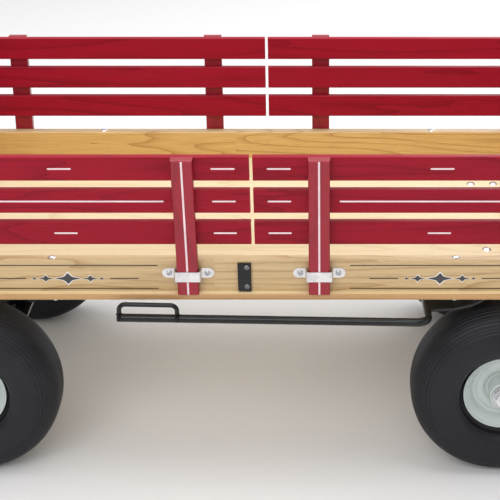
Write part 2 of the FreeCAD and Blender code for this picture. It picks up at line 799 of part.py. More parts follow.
eye_half = clevis_y[0] - 0.6
handle_bore = rod(V(0, -30, 0), V(0, 30, 0), handle_pin_radius + running_clearance)
loop_low, loop_high = handle_loop_bottom, handle_loop_bottom + handle_loop_height
loop_path = rounded_loop(handle_loop_width, loop_low, loop_high, handle_loop_corner)
handle_loop = swept_rod(loop_path, handle_rod_radius)
handle_tube = fuse([rod(V(0, -eye_half, 0), V(0, eye_half, 0), handle_eye_radius),
                    rod(V(0, 0, 0), V(0, 0, loop_low), handle_tube_radius)]).cut(handle_bore)
handle_tube = handle_tube.cut(handle_loop).Solids[0]
grip = rod(V(0, -grip_half_length, loop_high), V(0, grip_half_length, loop_high), grip_radius)
grip = grip.makeFillet(4.0, [edge for edge in grip.Edges if edge.Curve.TypeId == "Part::GeomCircle"])
grip = grip.cut(handle_loop).Solids[0]


# ---------------------------------------------------------------- parking brake

lever_length = brake_pivot_x - brake_front_x
lever_slope = (brake_pivot_z - brake_front_z) / lever_length
lever_start = V(brake_front_x, brake_lever_y, brake_front_z)
bend = V(brake_pivot_x, brake_lever_y, brake_pivot_z)
to_front = lever_start.sub(bend).normalize()
arc_start = bend.add(to_front * brake_bend_radius)
arc_end = bend.add(V(0, brake_bend_radius, 0))
arc_centre = arc_start.add(V(0, brake_bend_radius, 0))
towards_bend = bend.sub(arc_centre).normalize()
arc_middle = arc_centre.add(towards_bend * brake_bend_radius)
brake_path = Part.Wire([Part.makeLine(lever_start, arc_start),
                        Part.Arc(arc_start, arc_middle, arc_end).toShape(),
                        Part.makeLine(arc_end, V(brake_pivot_x, brake_far_y, brake_pivot_z))])
brake_rod = swept_rod(brake_path, brake_rod_radius)


def lever_z(x):
    """Height of the brake lever's centre line."""
    return brake_front_z + (x - brake_front_x) * lever_slope


def foot_loop():
    """A staple of thin rod on the lever's front end, which a foot or hand lifts."""
    left, right = foot_loop_x
    corner = foot_loop_corner
    half_turn = corner * (1 - math.sqrt(0.5))
    top_left, top_right = lever_z(left) + foot_loop_rise, lever_z(right) + foot_loop_rise
    y = brake_lever_y
    path = Part.Wire([
        Part.makeLine(V(left, y, lever_z(left)), V(left, y, top_left - corner)),
        Part.Arc(V(left, y, top_left - corner), V(left + half_turn, y, top_left - half_turn),
                 V(left + corner, y, top_left)).toShape(),
        Part.makeLine(V(left + corner, y, top_left), V(right - corner, y, top_right)),
        Part.Arc(V(right - corner, y, top_right), V(right - half_turn, y, top_right - half_turn),
                 V(right, y, top_right - corner)).toShape(),
        Part.makeLine(V(right, y, top_right - corner), V(right, y, lever_z(right)))])
    return swept_rod(path, foot_loop_rod)


def brake_shoe(way):
    """A bent plate welded to the cross rod, which bears on a rear tyre."""
    top = [(brake_pivot_x, brake_pivot_z + brake_rod_radius + 0.2), *shoe_outline]
    low_y = way * shoe_y - shoe_half_width
    outline = [V(x, low_y, z) for x, z in top] + [V(x, low_y, z - shoe_thickness) for x, z in reversed(top)]
    return prism(outline, V(0, 2 * shoe_half_width, 0))


brake_lever = fuse([brake_rod, foot_loop()])
brake_shoes = [brake_shoe(way).cut(brake_rod).Solids[0] for way in (-1, 1)]
hangers = []
for way in (-1, 1):
    inner = way * (hanger_y - hanger_plate / 2)
    flange_y = sorted((inner, way * (hanger_y + hanger_flange)))
    web_y = sorted((inner, way * (hanger_y + hanger_plate / 2)))
    web = box(hanger_x, web_y, (brake_pivot_z - hanger_low, plank_bottom_z))
    low_edges = [edge for edge in edges_along(web, Y_AXIS) if edge.CenterOfMass.z < brake_pivot_z]
    hangers.append(fuse([box(hanger_x, flange_y, (hanger_bottom_z, plank_bottom_z)),
                         web.makeFillet(hanger_round, low_edges)]))
cross_bore = rod(V(brake_pivot_x, -300, brake_pivot_z), V(brake_pivot_x, 300, brake_pivot_z),
                 brake_rod_radius + running_clearance)
hangers = drilled(hangers, [cross_bore] + frame_bolts)


# ---------------------------------------------------------------- sub-parts

for side in ("left", "right"):
    node("side_board_" + side, [boards[side]])
for side in ("front", "rear"):
    node("end_board_" + side, [boards[side]])
node("floor_planks", planks)
node("floor_cleats", cleats)
node("corner_screws", corner_screws)
node("board_bolts", board_bolts)
node("frame_bolts", frame_bolts)
node("stake_brackets", brackets)
node("bracket_screws", bracket_screws)
node("catch_plate", [on_side(catch, "left")])
node("catch_plate_screws", catch_screws)
node("front_axle_frame", front_frame)
node("rear_axle_frame", rear_frame)
node("rear_axle", [rear_axle])
node("rear_axle_nuts", axle_nut(rear_axle_x, -1) + axle_nut(rear_axle_x, 1))
node("pivot_bolts", pivot_bolts)
node("steering_knuckle_left", [knuckle(-1)])
node("steering_knuckle_right", [knuckle(1)])
node("front_axle_nut_left", axle_nut(front_axle_x, -1))
node("front_axle_nut_right", axle_nut(front_axle_x, 1))
node("tie_bar", [tie_bar])
node("tongue", [tongue])
node("handle_pin", [handle_pin])
node("handle_tube", [leaned(handle_tube)])
node("handle_loop", [leaned(handle_loop)])
node("handle_grip", [leaned(grip)])
node("brake_lever", [brake_lever])
node("brake_shoes", brake_shoes)
node("brake_hangers", hangers)
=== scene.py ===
import math

import bpy
from mathutils import Matrix, Vector


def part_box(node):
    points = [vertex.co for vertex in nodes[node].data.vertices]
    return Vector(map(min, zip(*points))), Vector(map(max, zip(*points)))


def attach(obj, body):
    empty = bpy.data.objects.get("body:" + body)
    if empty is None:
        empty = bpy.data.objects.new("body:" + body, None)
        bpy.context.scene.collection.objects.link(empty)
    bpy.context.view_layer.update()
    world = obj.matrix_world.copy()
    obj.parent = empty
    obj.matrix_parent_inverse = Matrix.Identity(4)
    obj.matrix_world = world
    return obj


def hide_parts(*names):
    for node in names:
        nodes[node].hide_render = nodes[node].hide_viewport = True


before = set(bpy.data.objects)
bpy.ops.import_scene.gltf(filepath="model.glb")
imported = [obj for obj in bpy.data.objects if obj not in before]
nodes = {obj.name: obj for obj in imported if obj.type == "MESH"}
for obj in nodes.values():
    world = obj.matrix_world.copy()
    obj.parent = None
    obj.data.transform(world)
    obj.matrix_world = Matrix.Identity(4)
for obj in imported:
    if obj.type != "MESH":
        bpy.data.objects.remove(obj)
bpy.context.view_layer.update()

# ---------------------------------------------------------------- places and sizes, in metres

MM = 0.001
left_low, left_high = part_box("side_board_left")
right_low, right_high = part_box("side_board_right")
bed_x = (left_low.x + left_high.x) / 2
bed_y = (left_low.y + right_high.y) / 2
bed_half_width = (right_high.y - left_low.y) / 2
bed_half_length = (left_high.x - left_low.x) / 2
board_top_z = left_high.z

FLARE = math.tan(math.radians(5.0))
RAIL_HEIGHT = 35.5 * MM
RAIL_PITCH = 49.0 * MM
GROOVE_WIDTH = 2.8 * MM
GROOVE_DEPTH = 0.8 * MM
PAINT_LIFT = 0.5 * MM
DASH_LENGTH = 32 * MM
DASH_FROM_END = 35 * MM
LONG_LINE_CLEARANCE = 13 * MM
STAKE_WIDTH = 29.2 * MM
STAKE_THICKNESS = 13.4 * MM
STAKE_GAP = 0.3 * MM
BRACKET_HOLE_OFFSET = 26.5 * MM
STRAP_THICKNESS = 1.6 * MM
CATCH_THICKNESS = 4.5 * MM
LEVER_RADIUS = 5.9 * MM
LOOP_RADIUS = 3.2 * MM
LOOP_LENGTH = 80.3 * MM
BOARD_SKIN = 17.5 * MM                   # how deep a board's tint goes, from its outer face
EDGE_SKIN = 1.5 * MM                     # the same for the floor's painted shade on its edges; the ledge's painted highlight starts past the boards


# ---------------------------------------------------------------- material graphs

class Graph:
    """A material with one Principled shader, and short ways to add nodes to it."""

    def __init__(self, name):
        self.material = bpy.data.materials.new(name)
        self.material.use_nodes = True
        self.tree = self.material.node_tree
        self.tree.nodes.clear()
        output = self.tree.nodes.new("ShaderNodeOutputMaterial")
        self.shader = self.tree.nodes.new("ShaderNodeBsdfPrincipled")
        self.tree.links.new(self.shader.outputs[0], output.inputs[0])
        self.position = self.add("ShaderNodeTexCoord").outputs["Object"]

    def add(self, kind, inputs=None, **settings):
        node = self.tree.nodes.new(kind)
        for name, value in settings.items():
            setattr(node, name, value)
        for name, value in (inputs or {}).items():
            self.put(node.inputs[name], value)
        return node

    def put(self, socket, value):
        if isinstance(value, bpy.types.NodeSocket):
            self.tree.links.new(value, socket)
        else:
            socket.default_value = value

    def set(self, **values):
        """Shader inputs by name, with underscores for spaces."""
        for name, value in values.items():
            self.put(self.shader.inputs[name.replace("_", " ")], value)

    def math(self, operation, a, b=0.0, c=0.0):
        node = self.add("ShaderNodeMath", operation=operation)
        for index, value in enumerate((a, b, c)):
            self.put(node.inputs[index], value)
        return node.outputs[0]

    def vector(self, operation, a, b):
        node = self.add("ShaderNodeVectorMath", operation=operation)
        self.put(node.inputs[0], a)
        self.put(node.inputs[1], b)
        return node.outputs[0]

    def noise(self, vector, scale, detail=2.0, roughness=0.5, distortion=0.0):
        inputs = {"Vector": vector, "Scale": scale, "Detail": detail, "Roughness": roughness,
                  "Distortion": distortion}
        return self.add("ShaderNodeTexNoise", inputs).outputs["Fac"]

    def ramp(self, factor, *stops):
        """A colour ramp between two (place, colour) stops."""
        node = self.add("ShaderNodeValToRGB", {"Fac": factor})
        for element, (place, colour) in zip(node.color_ramp.elements, stops):
            element.position = place
            element.color = (*colour, 1.0)
        return node.outputs["Color"]

    def mix(self, factor, a, b, blend="MIX"):
        node = self.add("ShaderNodeMix", data_type="RGBA", blend_type=blend)
        self.put(node.inputs[0], factor)
        self.put(node.inputs[6], a if isinstance(a, bpy.types.NodeSocket) else (*a, 1.0))
        self.put(node.inputs[7], b if isinstance(b, bpy.types.NodeSocket) else (*b, 1.0))
        return node.outputs[2]

    def remap(self, value, low, high, to_low, to_high):
        inputs = {"Value": value, "From Min": low, "From Max": high, "To Min": to_low, "To Max": to_high}
        return self.add("ShaderNodeMapRange", inputs).outputs[0]

    def bump(self, height, strength, distance):
        inputs = {"Height": height, "Strength": strength, "Distance": distance}
        self.put(self.shader.inputs["Normal"], self.add("ShaderNodeBump", inputs).outputs[0])


AXIS_ORDER = {"x": (0, 1, 2), "y": (1, 0, 2), "z": (2, 0, 1)}


def wood(name, along, colours, piece_pitch, piece_phase, rings=9.0, contrast=1.0, pores=0.5,
         roughness=(0.30, 0.42), specular=0.4, coat=0.25, seed=0.0, outer=()):
    """Sawn wood: growth rings cut into long arches, fibres and pores, varied from board to board.

    colours are (light, middle, dark). piece_pitch and piece_phase divide space so that each board
    gets grain of its own. outer is a list of (axis, centre, distance, tint): wood further than the
    distance from the centre, along the axis, takes the tint."""
    g = Graph(name)
    cell = g.vector("DIVIDE", g.vector("SUBTRACT", g.position, piece_phase), piece_pitch)
    cell = g.vector("ADD", g.vector("FLOOR", cell, (0, 0, 0)), (seed, seed * 1.7, seed * 0.3))
    random_piece = g.add("ShaderNodeTexWhiteNoise", {"Vector": cell}, noise_dimensions="3D")
    jump = g.vector("MULTIPLY", random_piece.outputs["Color"], (9.0, 5.0, 7.0))
    split = g.add("ShaderNodeSeparateXYZ", {"Vector": g.position}).outputs
    turned = {axis: split[index] for axis, index in zip("XYZ", AXIS_ORDER[along])}
    place = g.add("ShaderNodeCombineXYZ", turned).outputs[0]

    def grain(per_metre_along, per_metre_across, detail, roughness=0.5, distortion=0.0):
        """Noise drawn out along the board, different on each board."""
        scale = (per_metre_along, per_metre_across, per_metre_across)
        at = g.vector("ADD", g.vector("MULTIPLY", place, scale), jump)
        return g.noise(at, 1.0, detail, roughness, distortion)

    figure = grain(1.5, 17.0, 1.5, roughness=0.45, distortion=0.25)
    waver = grain(9.0, 120.0, 2.0)
    rings_at = g.math("MULTIPLY_ADD", waver, 0.035, figure)
    ring = g.math("FRACT", g.math("MULTIPLY", rings_at, rings))
    late = g.remap(ring, 0.55, 1.0, 0.0, 1.0)
    late = g.math("POWER", late, 2.2)
    fibre = grain(14.0, 620.0, 3.0, roughness=0.6)
    broad = grain(0.9, 8.0, 2.0)
    speck = grain(55.0, 1500.0, 1.0)
    pore = g.remap(speck, 0.60, 0.72, 0.0, 1.0)
    pore = g.math("MULTIPLY", pore, g.remap(ring, 0.0, 0.5, 1.0, 0.15))

    light, middle, dark = colours
    tone = g.math("MULTIPLY_ADD", broad, 0.55, g.math("MULTIPLY", random_piece.outputs["Value"], 0.35))
    base = g.ramp(tone, (0.15, middle), (0.7, light))
    ringed = g.mix(g.math("MULTIPLY", late, 0.62 * contrast), base, dark)
    fibred = g.mix(g.math("MULTIPLY", g.remap(fibre, 0.42, 0.75, 0.0, 1.0), 0.40 * contrast), ringed, dark)
    colour = g.mix(g.math("MULTIPLY", pore, pores), fibred, tuple(0.35 * part for part in dark))
    for axis, centre, distance, tint in outer:
        away = g.math("ABSOLUTE", g.math("SUBTRACT", split[axis], centre))
        colour = g.mix(g.math("GREATER_THAN", away, distance), colour, g.mix(1.0, colour, tint, "MULTIPLY"))
    g.set(Base_Color=colour, Roughness=g.remap(fibre, 0.3, 0.7, *roughness), Specular_IOR_Level=specular,
          Coat_Weight=coat, Coat_Roughness=0.12)
    height = g.math("SUBTRACT", g.math("MULTIPLY_ADD", late, 0.35, fibre), g.math("MULTIPLY", pore, 1.2))
    g.bump(height, strength=0.35, distance=0.00025)
    return g.material


def black_enamel(name):
    """Glossy black powder coat with a faint orange peel and dust."""
    g = Graph(name)
    dust = g.noise(g.position, scale=38.0, detail=4.0, roughness=0.6)
    peel = g.noise(g.position, scale=700.0)
    colour = g.ramp(dust, (0.40, (0.006, 0.006, 0.007)), (0.80, (0.017, 0.017, 0.018)))
    g.set(Base_Color=colour, Roughness=g.remap(dust, 0.3, 0.7, 0.12, 0.24), Specular_IOR_Level=0.22,
          Coat_Weight=0.25, Coat_Roughness=0.05)
    g.bump(peel, strength=0.08, distance=0.0002)
    return g.material


def zinc(name, tint, roughness, spangle):
    """Galvanised or zinc plated steel, with a crystal pattern and fine scratches."""
    g = Graph(name)
    cells = g.add("ShaderNodeTexVoronoi", {"Vector": g.position, "Scale": spangle, "Randomness": 1.0})
    flake = g.add("ShaderNodeSeparateColor", {"Color": cells.outputs["Color"]}).outputs[0]
    cloud = g.noise(g.position, scale=24.0, detail=3.0, roughness=0.6)
    scratch = g.noise(g.vector("MULTIPLY", g.position, (40.0, 900.0, 1600.0)), scale=1.0)
    shade = g.math("MULTIPLY_ADD", flake, 0.30, g.math("MULTIPLY", cloud, 0.70))
    darker = tuple(0.74 * part for part in tint)
    g.set(Base_Color=g.ramp(shade, (0.2, darker), (0.75, tint)), Metallic=1.0,
          Roughness=g.remap(shade, 0.2, 0.8, roughness + 0.10, roughness - 0.06))
    g.bump(scratch, strength=0.10, distance=0.0002)
    return g.material


def rubber(name, colour, roughness):
    """Rubber with a faint bloom and a fine moulded skin."""
    g = Graph(name)
    bloom = g.noise(g.position, scale=26.0, detail=5.0, roughness=0.62)
    grain = g.noise(g.position, scale=1400.0)
    lighter = tuple(1.9 * part for part in colour)
    g.set(Base_Color=g.ramp(bloom, (0.35, colour), (0.75, lighter)), Specular_IOR_Level=0.30,
          Roughness=g.remap(bloom, 0.3, 0.7, roughness - 0.07, roughness + 0.08))
    g.bump(grain, strength=0.22, distance=0.0003)
    return g.material


def enamel(name, colour, shade, roughness):
    """Pale brushed-on or sprayed paint with slight unevenness."""
    g = Graph(name)
    cloud = g.noise(g.position, scale=30.0, detail=4.0, roughness=0.55)
    peel = g.noise(g.position, scale=700.0)
    g.set(Base_Color=g.ramp(cloud, (0.3, shade), (0.7, colour)),
          Roughness=g.remap(cloud, 0.3, 0.7, roughness + 0.06, roughness - 0.05), Coat_Weight=0.2,
          Coat_Roughness=0.15)
    g.bump(peel, strength=0.12, distance=0.0003)
    return g.material


EVERYWHERE = 50.0                        # a pitch so long that one cell holds the whole wagon
PLANK_COUNT = 5

# light, middle and dark wood
RED = ((0.36, 0.006, 0.023), (0.29, 0.004, 0.017), (0.13, 0.0015, 0.007))
HONEY = ((0.76, 0.51, 0.19), (0.68, 0.42, 0.125), (0.38, 0.18, 0.035))
CREAM = ((0.82, 0.72, 0.49), (0.78, 0.65, 0.40), (0.57, 0.41, 0.21))

# what the wood's colour is multiplied by on outer faces
BOARD_TINT = (0.85, 0.96, 1.52)
# painted highlight: the floor's ledge past the boards is made lighter, standing in for light falling on it
LEDGE_PAINTED_LIGHT = (1.20, 1.14, 1.05)
# painted shade: the floor's outermost edge faces are darkened where shade falls on them
EDGE_PAINTED_SHADE = (0.56, 0.40, 0.28)
END_TINT = (0.70, 0.56, 0.46)

rail_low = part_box("rack_left_front_rails")[0]
rail_phase = (bed_x, bed_y, rail_low.z - (RAIL_PITCH - RAIL_HEIGHT) / 2)
stake_phase = (bed_x, bed_y, 0.0)
plank_low, plank_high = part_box("floor_planks")
plank_pitch = (plank_high.y - plank_low.y) / PLANK_COUNT
WHOLE = (EVERYWHERE, EVERYWHERE, EVERYWHERE)
RAIL_CELL = (EVERYWHERE, EVERYWHERE, RAIL_PITCH)
RAIL_FINISH = dict(rings=7.0, contrast=0.8, pores=0.45, roughness=(0.34, 0.46), specular=0.14, coat=0.06)

MATERIALS = {
    "side_rails": wood("red_side_rails", "x", RED, RAIL_CELL, rail_phase, **RAIL_FINISH),
    "end_rails": wood("red_end_rails", "y", RED, RAIL_CELL, rail_phase, seed=3.0, **RAIL_FINISH),
    "stakes": wood("red_stakes", "z", RED, (0.2, 0.2, EVERYWHERE), stake_phase, rings=7.0, contrast=0.6,
                   pores=0.3, roughness=(0.30, 0.40), specular=0.35, coat=0.30, seed=5.0),
    "side_boards": wood("ash_side_boards", "x", HONEY, WHOLE, (0, bed_y, -1.0), rings=11.0, contrast=1.15,
                        pores=0.5, outer=[(1, bed_y, bed_half_width - BOARD_SKIN, BOARD_TINT)]),
    "end_boards": wood("ash_end_boards", "y", HONEY, WHOLE, (bed_x, 0, -1.0), rings=11.0, contrast=0.9,
                       pores=0.5, seed=2.0, outer=[(0, bed_x, bed_half_length - BOARD_SKIN, BOARD_TINT)]),
    "planks": wood("ash_planks", "x", CREAM, (EVERYWHERE, plank_pitch, EVERYWHERE),
                   (-9.0, plank_low.y, -1.0), rings=10.0, contrast=0.7, pores=0.4, seed=4.0,
                   outer=[(1, bed_y, bed_half_width + EDGE_SKIN, LEDGE_PAINTED_LIGHT),
                          (1, bed_y, plank_high.y - bed_y - EDGE_SKIN, EDGE_PAINTED_SHADE),
                          (0, bed_x, plank_high.x - bed_x - EDGE_SKIN, END_TINT)]),
    "cleats": wood("ash_cleats", "y", HONEY, (0.25, EVERYWHERE, EVERYWHERE), (0, -9.0, -1.0), seed=6.0),
    "black_steel": black_enamel("black_powder_coat"),
    "galvanised": zinc("galvanised_strap", (0.80, 0.78, 0.78), roughness=0.34, spangle=180.0),
    "bright_steel": zinc("zinc_plated_steel", (0.80, 0.80, 0.81), roughness=0.26, spangle=420.0),
    "bearing_steel": zinc("bearing_steel", (0.62, 0.63, 0.65), roughness=0.22, spangle=600.0),
    "tyre_rubber": rubber("tyre_rubber", (0.0075, 0.0075, 0.010), roughness=0.44),
    "tube_rubber": rubber("tube_rubber", (0.020, 0.020, 0.021), roughness=0.6),
    "grip_rubber": rubber("grip_rubber", (0.014, 0.014, 0.014), roughness=0.6),
    "rim_paint": enamel("rim_enamel", (0.56, 0.61, 0.59), (0.50, 0.56, 0.53), roughness=0.30),
    "screw_steel": zinc("screw_steel", (0.62, 0.64, 0.68), roughness=0.24, spangle=700.0),
    "dark_screw": zinc("dark_screw", (0.30, 0.30, 0.31), roughness=0.26, spangle=700.0),
    "stripe_paint": enamel("stripe_paint", (0.90, 0.74, 0.76), (0.80, 0.60, 0.64), roughness=0.45),
    "pinstripe_ink": enamel("pinstripe_ink", (0.040, 0.022, 0.010), (0.028, 0.015, 0.007), roughness=0.45),
    "ornament_ink": enamel("ornament_ink", (0.045, 0.042, 0.050), (0.03, 0.028, 0.034), roughness=0.45),
    "ornament_edge": enamel("ornament_edge", (0.84, 0.82, 0.78), (0.76, 0.73, 0.68), roughness=0.45),
}


def paint(obj, material):
    """Give an object one material in every slot."""
    if not obj.data.materials:
        obj.data.materials.append(MATERIALS[material])
    for index in range(len(obj.data.materials)):
        obj.data.materials[index] = MATERIALS[material]


# ---------------------------------------------------------------- mesh tools

def mesh_piece(name, points, faces, material, body, smooth_angle=35.0):
    """A mesh object from points and faces, smooth except at edges sharper than smooth_angle."""
    mesh = bpy.data.meshes.new(name)
    mesh.from_pydata([tuple(p) for p in points], [], faces)
    mesh.validate()
    mesh.polygons.foreach_set("use_smooth", [True] * len(mesh.polygons))
    mesh.set_sharp_from_angle(angle=math.radians(smooth_angle))
    obj = bpy.data.objects.new(name, mesh)
    bpy.context.scene.collection.objects.link(obj)
    paint(obj, material)
    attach(obj, body)
    return obj


class Soup:
    """Points and faces gathered from several shapes into one mesh."""

    def __init__(self):
        self.points, self.faces = [], []

    def add(self, points, faces, matrix=None):
        start = len(self.points)
        self.points += [matrix @ Vector(p) if matrix else Vector(p) for p in points]
        self.faces += [tuple(start + index for index in face) for face in faces]


def rounded(points, radius, steps=4):
    """A closed 2-D outline with every corner rounded by up to the given radius."""
    result = []
    for index, point in enumerate(points):
        here = Vector(point)
        before, after = Vector(points[index - 1]), Vector(points[(index + 1) % len(points)])
        to_before, to_after = before - here, after - here
        reach = min(radius, 0.45 * to_before.length, 0.45 * to_after.length)
        a, b = here + to_before.normalized() * reach, here + to_after.normalized() * reach
        for step in range(steps + 1):
            t = step / steps
            result.append(a * (1 - t) ** 2 + here * 2 * t * (1 - t) + b * t ** 2)
    return result


def lathe(profile, segments, closed=True):
    """Points and faces of a profile of (radius, offset) turned about +Y."""
    points, faces = [], []
    size = len(profile)
    for turn in range(segments):
        angle = 2 * math.pi * turn / segments
        for radius, offset in profile:
            points.append((radius * math.cos(angle), offset, radius * math.sin(angle)))
    last = size if closed else size - 1
    for turn in range(segments):
        following = (turn + 1) % segments
        for index in range(last):
            other = (index + 1) % size
            faces.append((turn * size + index, turn * size + other, following * size + other,
                          following * size + index))
    return points, faces


def bead(path, radius):
    """Points and faces of a weld bead: a lumpy rod along a path of points, with pointed ends."""
    points, faces = [], []
    sides, count, end_share = 10, len(path), 0.25
    for index, here in enumerate(path):
        direction = (path[min(index + 1, count - 1)] - path[max(index - 1, 0)]).normalized()
        side = direction.orthogonal().normalized()
        up = direction.cross(side)
        lump = 1 + 0.16 * math.sin(index * 2.1) + 0.05 * math.sin(index * 5.3)
        reach = radius * (end_share if index in (0, count - 1) else lump)
        for step in range(sides):
            angle = 2 * math.pi * step / sides
            points.append(here + (side * math.cos(angle) + up * math.sin(angle)) * reach)
    for index in range(count - 1):
        for step in range(sides):
            other = (step + 1) % sides
            start, following = index * sides, (index + 1) * sides
            faces.append((start + step, start + other, following + other, following + step))
    faces.append(tuple(reversed(range(sides))))
    faces.append(tuple(range((count - 1) * sides, count * sides)))
    return points, faces


def straight(start, end, step=1.4 * MM):
    """Points along a line, close enough for a weld bead."""
    start, end = Vector(start), Vector(end)
    count = max(3, round((end - start).length / step))
    return [start.lerp(end, index / count) for index in range(count + 1)]


def level_circle(centre, radius, count=14):
    """Points round a level circle, back to the first."""
    points = []
    for index in range(count + 1):
        angle = 2 * math.pi * index / count
        points.append(Vector(centre) + Vector((radius * math.cos(angle), radius * math.sin(angle), 0.0)))
    return points


def cross_screw(head_radius, head_height, shank_radius, length):
    """Points and faces of a screw with a cross recess; its head points to +Z from z = 0."""
    turns, shares = 56, [0.08 * step for step in range(1, 12)] + [0.94, 0.98, 1.0]
    half_arm, arm_reach, soft, recess_depth = 0.15, 0.60, 0.07, 0.75      # shares of the head

    def inside(value, limit):
        return min(1.0, max(0.0, (limit - abs(value)) / soft + 0.5))

    def height(x, y):
        pan = max(0.0, 1 - math.hypot(x, y) ** 4) ** 0.5
        arms = max(inside(x, half_arm) * inside(y, arm_reach), inside(y, half_arm) * inside(x, arm_reach))
        return head_height * (pan - recess_depth * arms)

    points, faces = [(0, 0, height(0, 0))], []
    for share in shares:
        for turn in range(turns):
            angle = 2 * math.pi * turn / turns
            x, y = share * math.cos(angle), share * math.sin(angle)
            points.append((x * head_radius, y * head_radius, height(x, y)))
    for radius, z in ((shank_radius, 0.0), (shank_radius, -length), (0.05 * shank_radius, -length)):
        for turn in range(turns):
            angle = 2 * math.pi * turn / turns
            points.append((radius * math.cos(angle), radius * math.sin(angle), z))
    rings = len(shares) + 3
    for turn in range(turns):
        other = (turn + 1) % turns
        faces.append((0, 1 + turn, 1 + other))
        for ring in range(rings - 1):
            low, high = 1 + ring * turns, 1 + (ring + 1) * turns
            faces.append((low + turn, high + turn, high + other, low + other))
    faces.append(tuple(1 + (rings - 1) * turns + turn for turn in reversed(range(turns))))
    return points, faces


def plate(outline, low, high):
    """Points and faces of a flat plate: a 2-D outline in X and Z, from y = low to y = high."""
    count = len(outline)
    points = [(x, low, z) for x, z in outline] + [(x, high, z) for x, z in outline]
    faces = [tuple(range(count)), tuple(reversed(range(count, 2 * count)))]
    for index in range(count):
        other = (index + 1) % count
        faces.append((index, index + count, other + count, other))
    return points, faces


def bar(start, end, half):
    """Outline of a square-ended bar from start to end, with half its width either side."""
    return [(start, -half), (end, -half), (end, half), (start, half)]


def stadium(half_length, half_width, steps=8):
    """Outline of a bar with round ends, lying along X."""
    outline = []
    for end, first in ((half_length - half_width, -90), (half_width - half_length, 90)):
        for step in range(steps + 1):
            angle = math.radians(first + 180 * step / steps)
            outline.append((end + half_width * math.cos(angle), half_width * math.sin(angle)))
    return outline


# ---------------------------------------------------------------- CAD nodes that stay, with real finishes

NODE_FINISH = {
    "side_board_left": "side_boards", "side_board_right": "side_boards",
    "end_board_front": "end_boards", "end_board_rear": "end_boards",
    "floor_planks": "planks", "floor_cleats": "cleats", "stake_brackets": "galvanised",
    "rack_front_rails": "end_rails", "rack_rear_rails": "end_rails",
    "handle_grip": "grip_rubber", "rear_axle": "bright_steel", "handle_pin": "bright_steel",
}
WORD_FINISH = {
    "_stakes": "stakes", "_rails": "side_rails", "tyre_": "tyre_rubber", "inner_tube_": "tube_rubber",
    "rim_": "rim_paint", "bearings_": "bearing_steel", "screws": "bright_steel", "bolts": "bright_steel",
    "nut": "bright_steel",
}


def node_finish(name):
    """A node's own finish, or that of the first word found in its name, or black steel."""
    if name in NODE_FINISH:
        return NODE_FINISH[name]
    return next((finish for word, finish in WORD_FINISH.items() if word in name), "black_steel")


for name in nodes:
    paint(nodes[name], node_finish(name))


# ---------------------------------------------------------------- wheels

TYRE_RADIUS = 133.35                     # the wheels' profiles are in millimetres: (radius, offset)
TYRE_HALF_WIDTH = 48.9
RIM_RADIUS = 58.0
CROWN_POWER = 3.3
SEGMENTS = 144


def crown(share):
    """Radius of the tyre's outer skin at a share of its half width, in millimetres."""
    height = TYRE_RADIUS - RIM_RADIUS
    return RIM_RADIUS + height * (1 - abs(share) ** CROWN_POWER) ** (1 / CROWN_POWER)


def tyre_profile():
    """Outline of a tyre: ribbed crown and shoulders, plain sidewalls, feet on the rim, and the inside."""
    steps, last_bearing = 170, math.radians(84.0)
    rib_pitch, groove_depth, groove_half = 5.6, 0.9, 1.1
    plain_radius, fade_length = 103.0, 6.0
    skin, travelled, previous = [], 0.0, None
    for step in range(steps + 1):
        bearing = last_bearing * step / steps
        share = math.sin(bearing)
        point = Vector((crown(share), TYRE_HALF_WIDTH * share))
        if previous is not None:
            travelled += (point - previous).length
        previous = point
        skin.append((point, travelled))
    half = []
    for index, (point, distance) in enumerate(skin):
        ahead = skin[min(index + 1, steps)][0] - skin[max(index - 1, 0)][0]
        outward = Vector((ahead.y, -ahead.x)).normalized()
        phase = (distance / rib_pitch) % 1.0
        edge = min(phase, 1 - phase) * rib_pitch
        cut = max(0.0, 1 - (edge / groove_half) ** 2)
        fade = min(1.0, max(0.0, (point.x - plain_radius) / fade_length))
        half.append(point - outward * cut * groove_depth * fade)
    waist = half[-1]
    wall_steps, wall_radius, foot_drop, wall_depth = 14, 86, 20.8, 17.5
    first_turn, last_turn = math.radians(4), math.radians(74)
    wall = []
    for step in range(1, wall_steps + 1):
        t = step / wall_steps
        quarter = math.pi * t / 2
        drop = (1 - math.cos(first_turn + (last_turn - first_turn) * t)) / (1 - math.cos(last_turn))
        radius = wall_radius + (waist.x - wall_radius) * math.cos(quarter)
        radius -= foot_drop * math.sin(quarter) ** 1.2
        wall.append((radius, waist.y - wall_depth * drop))
    foot = [(64.6, 30.2), (63.6, 28.4), (61.6, 27.2), (58.4, 26.2), (53.4, 22.2), (51.3, 19.6), (51.2, 15.2)]
    inside = [(56.5, 15.0), (70, 33), (86, 42), (104, 39), (121.5, 22), (125.2, 8)]
    half = [tuple(point) for point in half] + wall + foot + inside
    mirrored = [(radius, -offset) for radius, offset in reversed(half)]
    return [(radius * MM, offset * MM) for radius, offset in half + mirrored[:-1]]


